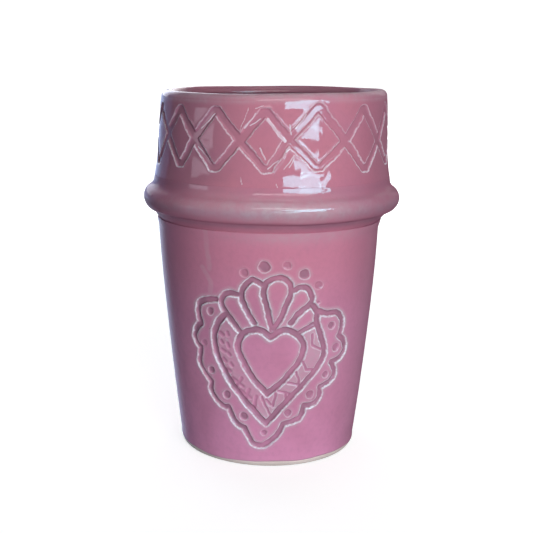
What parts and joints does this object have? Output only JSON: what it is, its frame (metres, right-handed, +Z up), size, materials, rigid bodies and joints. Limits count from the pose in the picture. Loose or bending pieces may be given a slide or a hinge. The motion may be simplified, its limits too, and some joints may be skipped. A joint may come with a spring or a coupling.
{
  "type": "handleless clay cup",
  "caption": "Handleless clay cup, glazed inside and out: a tapered body on a bare foot, a raised roll round the shoulder and a near-straight collar with a rounded lip. It holds a drink.",
  "frame": {"origin": "centre of the foot ring, on the plane that the cup stands on", "axes": "+Z up along the cup's axis towards the lip; -Y towards the carved front that the picture shows; X to the right of it"},
  "size_m": [0.0852, 0.0852, 0.12],
  "materials": {
    "clay": "matte",
    "outer_glaze": "gloss",
    "liner_glaze": "gloss"
  },
  "bodies": {
    "root": {"floor_disc": "clay", "body_wall": "clay", "shoulder_roll": "clay", "collar_wall": "clay", "outer_glaze": "outer_glaze", "liner_glaze": "liner_glaze"}
  },
  "joints": []
}
